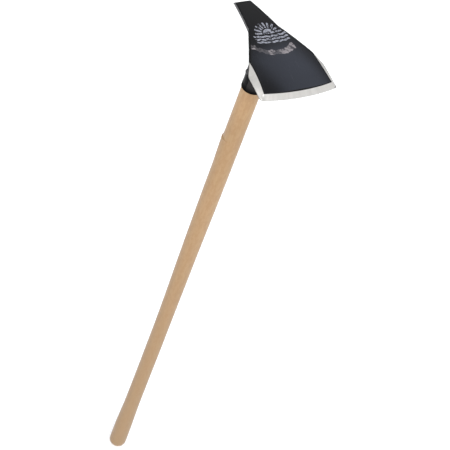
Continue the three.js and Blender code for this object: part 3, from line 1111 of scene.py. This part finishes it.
def build():
    steel = oxide_steel()
    coats = [None] * 4
    coats[TOP] = black_paint("blade_paint", printed=True, worn=True)
    coats[STEEL] = ground_steel()
    coats[WALL] = cut_edge()
    coats[BACK] = black_paint("blade_back_paint", worn=True)
    blade = piece("blade_body", blade_mesh(), coats, "blade")
    tube_paint = black_paint("socket_paint", worn=True, gloss=0.05, painted_reflection_side=(0.292, -0.956))
    socket = piece("socket_tube", socket_mesh(), [tube_paint], "socket")
    cut(socket, drill_mesh())
    crisp(socket, 40)
    piece("weld_run", bead_mesh(), [black_paint("weld_paint")], "weld_bead")
    handle = piece("handle_ash", handle_mesh(), [ash_wood()], "handle")
    cut(handle, drill_mesh())
    crisp(handle, 40)
    bolt = piece("bolt_m6", bolt_mesh(), [steel], "cross_bolt")
    nut = piece("nut_m6", nut_mesh(), [steel, nylon()], "lock_nut")
    near = piece("washer_head_side", washer_mesh("washer_head_side", -1), [steel],
                 "bolt_washer")
    far = piece("washer_nut_side", washer_mesh("washer_nut_side", 1), [steel],
                "nut_washer")
    crisp(blade, 20)
    for fastener in (bolt, nut, near, far):
        crisp(fastener, 28)


# ---- Camera, light and floor ----

CAMERA_AIM = Vector((0.0347, -0.0355, 0.7537))
CAMERA_DISTANCE = 3.855
CAMERA_AZIMUTH = -45.67
CAMERA_ELEVATION = 41.16
CAMERA_ROLL = 21.53
CAMERA_LENS = 148.0

SUNS = [
    # name, azimuth, elevation, strength, and how wide it looks; angles in degrees
    ("key", -32.0, 45.0, 2.3, 40.0),
    ("right", 60.0, 33.0, 0.48, 60.0),
    ("left", -80.0, 62.0, 0.64, 40.0),
]
BACKGROUND = (0.98, 0.99, 1.0, 1.0)
BACKGROUND_STRENGTH = 0.52
FLOOR_HALF_WIDTH = 14.0
FLOOR_WHITE = (0.96, 0.96, 0.96)
FLOOR_GLOW = 0.1


def direction(azimuth, elevation):
    """Unit vector towards a place seen at an azimuth and elevation, in degrees."""
    a, e = math.radians(azimuth), math.radians(elevation)
    return Vector((math.sin(a) * math.cos(e), -math.cos(a) * math.cos(e), math.sin(e)))


def camera():
    data = bpy.data.cameras.new("camera")
    data.lens = CAMERA_LENS
    data.sensor_width = 36.0
    data.clip_end = 50.0
    obj = linked("camera", data)
    back = direction(CAMERA_AZIMUTH, CAMERA_ELEVATION)
    right = Vector((0, 0, 1)).cross(back).normalized()
    up = back.cross(right)
    roll = math.radians(CAMERA_ROLL)
    rolled_right = right * math.cos(roll) + up * math.sin(roll)
    rolled_up = up * math.cos(roll) - right * math.sin(roll)
    turn = Matrix((rolled_right, rolled_up, back)).transposed().to_4x4()
    obj.matrix_world = Matrix.Translation(CAMERA_AIM + back * CAMERA_DISTANCE) @ turn
    bpy.context.scene.camera = obj


def aim(light, out):
    """Turns a light to shine back along the way out to it."""
    light.rotation_mode = "QUATERNION"
    light.rotation_quaternion = (-out).to_track_quat("-Z", "Y")


def softbox(name, azimuth, elevation, distance, size, radiance, colour):
    """A rectangular area light that faces the head, with a given brightness to the eye."""
    data = bpy.data.lights.new(name, "AREA")
    data.shape = "RECTANGLE"
    data.size, data.size_y = size
    data.energy = radiance * math.pi * size[0] * size[1]
    data.color = colour
    obj = linked(name, data)
    out = direction(azimuth, elevation)
    obj.location = Vector((0, 0, CROWN_Z)) + out * distance
    aim(obj, out)


def sun(name, azimuth, elevation, strength, angle):
    data = bpy.data.lights.new(name, "SUN")
    data.energy = strength
    data.angle = math.radians(angle)
    aim(linked(name, data), direction(azimuth, elevation))


def floor():
    mesh = bpy.data.meshes.new("floor")
    half = FLOOR_HALF_WIDTH
    corners = [(-half, -half, 0), (half, -half, 0), (half, half, 0), (-half, half, 0)]
    mesh.from_pydata(corners, [], [(0, 1, 2, 3)])
    obj = linked("floor", mesh)
    # A faint light of its own keeps the floor white round the butt.
    white = Shader("floor").set(base_color=FLOOR_WHITE, roughness=0.9,
                                emission_color=FLOOR_WHITE, emission_strength=FLOOR_GLOW)
    mesh.materials.append(white)


def studio():
    world = bpy.data.worlds.new("studio")
    bpy.context.scene.world = world
    world.use_nodes = True
    background = world.node_tree.nodes["Background"]
    background.inputs["Color"].default_value = BACKGROUND
    background.inputs["Strength"].default_value = BACKGROUND_STRENGTH
    for name, azimuth, elevation, strength, angle in SUNS:
        sun(name, azimuth, elevation, strength, angle)
    softbox("blade", azimuth=104.5, elevation=49.8, distance=3.0, size=(1.6, 1.0),
            radiance=1.4, colour=(0.88, 1.0, 1.34))
    floor()
    bpy.context.scene.view_settings.view_transform = "Standard"


build()
camera()
studio()
